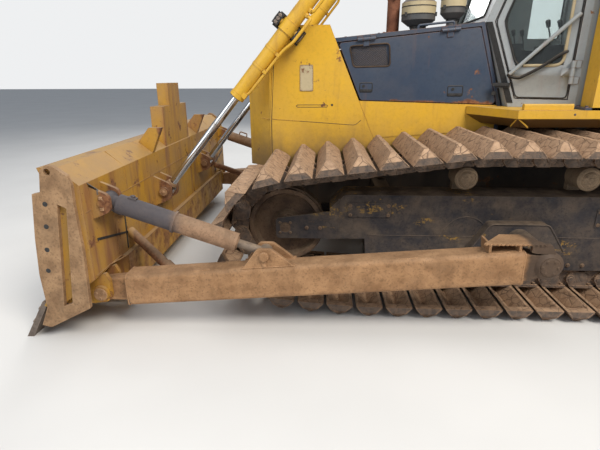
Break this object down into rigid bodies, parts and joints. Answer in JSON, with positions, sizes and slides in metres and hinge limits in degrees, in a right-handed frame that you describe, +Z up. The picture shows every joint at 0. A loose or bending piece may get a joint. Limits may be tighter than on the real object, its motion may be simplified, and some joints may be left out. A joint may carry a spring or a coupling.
{
  "type": "bulldozer",
  "caption": "Crawler bulldozer with wide triangular-shoe tracks, a straight blade on outside push arms, lift and tilt cylinders, a closed cab and a rear drawbar.",
  "frame": {"origin": "on the ground, under the middle of the machine's box, blade down on the ground", "axes": "+X forward towards the blade, +Y to the machine's left, +Z up"},
  "size_m": [5.6, 3.7, 3.2],
  "materials": {
    "yellow_paint": "worn",
    "hood_paint": "worn",
    "frame_paint": "dusty",
    "arm_steel": "rusty",
    "track_steel": "dusty",
    "wear_steel": "worn",
    "rod_chrome": "polished",
    "dark_steel": "matt",
    "exhaust_steel": "rusty",
    "cab_paint": "worn",
    "pane": "clear",
    "cushion": "matt",
    "trim_plastic": "matt"
  },
  "bodies": {
    "tractor": {"track_left": "track_steel", "track_right": "track_steel", "idlers": "arm_steel", "sprockets": "arm_steel", "track_rollers": "arm_steel", "carrier_rollers": "frame_paint", "track_frame_left": "frame_paint", "track_frame_right": "frame_paint", "hull": "frame_paint", "radiator_guard": "yellow_paint", "grille": "dark_steel", "radiator": "dark_steel", "engine": "frame_paint", "hood": "hood_paint", "side_panels": "yellow_paint", "exhaust_pipe": "exhaust_steel", "precleaners": "frame_paint", "cab": "cab_paint", "cab_glass": "pane", "seat": "cushion", "controls": "trim_plastic", "fenders": "yellow_paint", "rollover_frame": "yellow_paint", "fuel_tank": "yellow_paint", "drawbar": "dark_steel"},
    "trunnion_balls": {"trunnion_ball_left": "wear_steel", "trunnion_ball_right": "wear_steel"},
    "blade_frame": {"blade": "yellow_paint", "cutting_edge": "wear_steel", "blade_end_plates": "arm_steel", "push_arm_right": "arm_steel", "screw_brace": "arm_steel"},
    "arm_left": {"push_arm_left": "arm_steel"},
    "tilt_barrel": {"tilt_barrel": "arm_steel"},
    "tilt_rod": {"tilt_rod": "rod_chrome"},
    "lift_yoke_left": {"lift_yoke_left": "dark_steel"},
    "lift_yoke_right": {"lift_yoke_right": "dark_steel"},
    "lift_barrel_left": {"lift_barrel_left": "yellow_paint"},
    "lift_barrel_right": {"lift_barrel_right": "yellow_paint"},
    "lift_rod_left": {"lift_rod_left": "rod_chrome"},
    "lift_rod_right": {"lift_rod_right": "rod_chrome"},
    "cab_door_left": {"cab_door_left": "cab_paint"},
    "cab_door_right": {"cab_door_right": "cab_paint"},
    "hood_door_left": {"hood_door_left": "hood_paint"},
    "hood_door_right": {"hood_door_right": "hood_paint"}
  },
  "joints": [
    {"name": "blade_lift", "type": "hinge", "parent": "tractor", "child": "trunnion_balls", "pos_m": [-0.545, 0, 0.525], "axis": [0, -1, 0], "range_deg": [-7.5, 19]},
    {"name": "blade_tilt", "type": "hinge", "parent": "trunnion_balls", "child": "blade_frame", "pos_m": [-0.545, -1.645, 0.525], "axis": [0.8816, 0.4664, -0.0732], "range_deg": [-4.5, 4.5]},
    {"name": "arm_left_swivel", "type": "hinge", "parent": "trunnion_balls", "child": "arm_left", "pos_m": [-0.545, 1.645, 0.525], "axis": [0.8427, -0.5338, -0.07], "range_deg": [-4.8, 4.8]},
    {"name": "tilt_cylinder_swivel", "type": "hinge", "parent": "blade_frame", "child": "tilt_barrel", "pos_m": [2.194, 1.645, 0.902], "axis": [0, -1, 0], "range_deg": [-4.2, 4.2]},
    {"name": "tilt_cylinder_stroke", "type": "slide", "parent": "tilt_barrel", "child": "tilt_rod", "axis": [-0.9469, 0, -0.3214], "range_m": [-0.05, 0.05]},
    {"name": "lift_yoke_left_swivel", "type": "hinge", "parent": "tractor", "child": "lift_yoke_left", "pos_m": [1.12, 0.64, 1.98], "axis": [0, -1, 0], "range_deg": [-8.7, 21.9]},
    {"name": "lift_cylinder_left_sway", "type": "hinge", "parent": "lift_yoke_left", "child": "lift_barrel_left", "pos_m": [1.12, 0.64, 1.98], "axis": [0.7652, 0, 0.6438], "range_deg": [-1.1, 1.1]},
    {"name": "lift_cylinder_left_stroke", "type": "slide", "parent": "lift_barrel_left", "child": "lift_rod_left", "axis": [0.6438, 0, -0.7652], "range_m": [-0.72, 0.285]},
    {"name": "lift_yoke_right_swivel", "type": "hinge", "parent": "tractor", "child": "lift_yoke_right", "pos_m": [1.12, -0.64, 1.98], "axis": [0, -1, 0], "range_deg": [-8.7, 21.9]},
    {"name": "lift_cylinder_right_sway", "type": "hinge", "parent": "lift_yoke_right", "child": "lift_barrel_right", "pos_m": [1.12, -0.64, 1.98], "axis": [0.7652, 0, 0.6438], "range_deg": [-1.1, 1.1]},
    {"name": "lift_cylinder_right_stroke", "type": "slide", "parent": "lift_barrel_right", "child": "lift_rod_right", "axis": [0.6438, 0, -0.7652], "range_m": [-0.72, 0.285]},
    {"name": "cab_door_left_hinge", "type": "hinge", "parent": "tractor", "child": "cab_door_left", "pos_m": [-0.92493, 0.82, 2.2], "axis": [0, 0, 1], "range_deg": [0, 100]},
    {"name": "hood_door_left_hinge", "type": "hinge", "parent": "tractor", "child": "hood_door_left", "pos_m": [0.15, 0.534, 1.93884], "axis": [0.9958, 0, -0.092], "range_deg": [0, 80]},
    {"name": "cab_door_right_hinge", "type": "hinge", "parent": "tractor", "child": "cab_door_right", "pos_m": [-0.92493, -0.82, 2.2], "axis": [0, 0, -1], "range_deg": [0, 100]},
    {"name": "hood_door_right_hinge", "type": "hinge", "parent": "tractor", "child": "hood_door_right", "pos_m": [0.15, -0.534, 1.93884], "axis": [-0.9958, 0, 0.092], "range_deg": [0, 80]}
  ],
  "couplings": [
    {"joint": "arm_left_swivel", "follows": "blade_tilt", "ratio": 1.0463},
    {"joint": "tilt_cylinder_swivel", "follows": "blade_tilt", "ratio": 0.92},
    {"joint": "tilt_cylinder_stroke", "follows": "blade_tilt", "m_per_rad": 0.62},
    {"joint": "lift_yoke_left_swivel", "follows": "blade_lift", "ratio": 1.15},
    {"joint": "lift_cylinder_left_sway", "follows": "blade_tilt", "ratio": -0.225},
    {"joint": "lift_cylinder_left_stroke", "follows": "blade_lift", "m_per_rad": -2.16},
    {"joint": "lift_yoke_right_swivel", "follows": "blade_lift", "ratio": 1.15},
    {"joint": "lift_cylinder_right_sway", "follows": "blade_tilt", "ratio": -0.225},
    {"joint": "lift_cylinder_right_stroke", "follows": "blade_lift", "m_per_rad": -2.16}
  ]
}
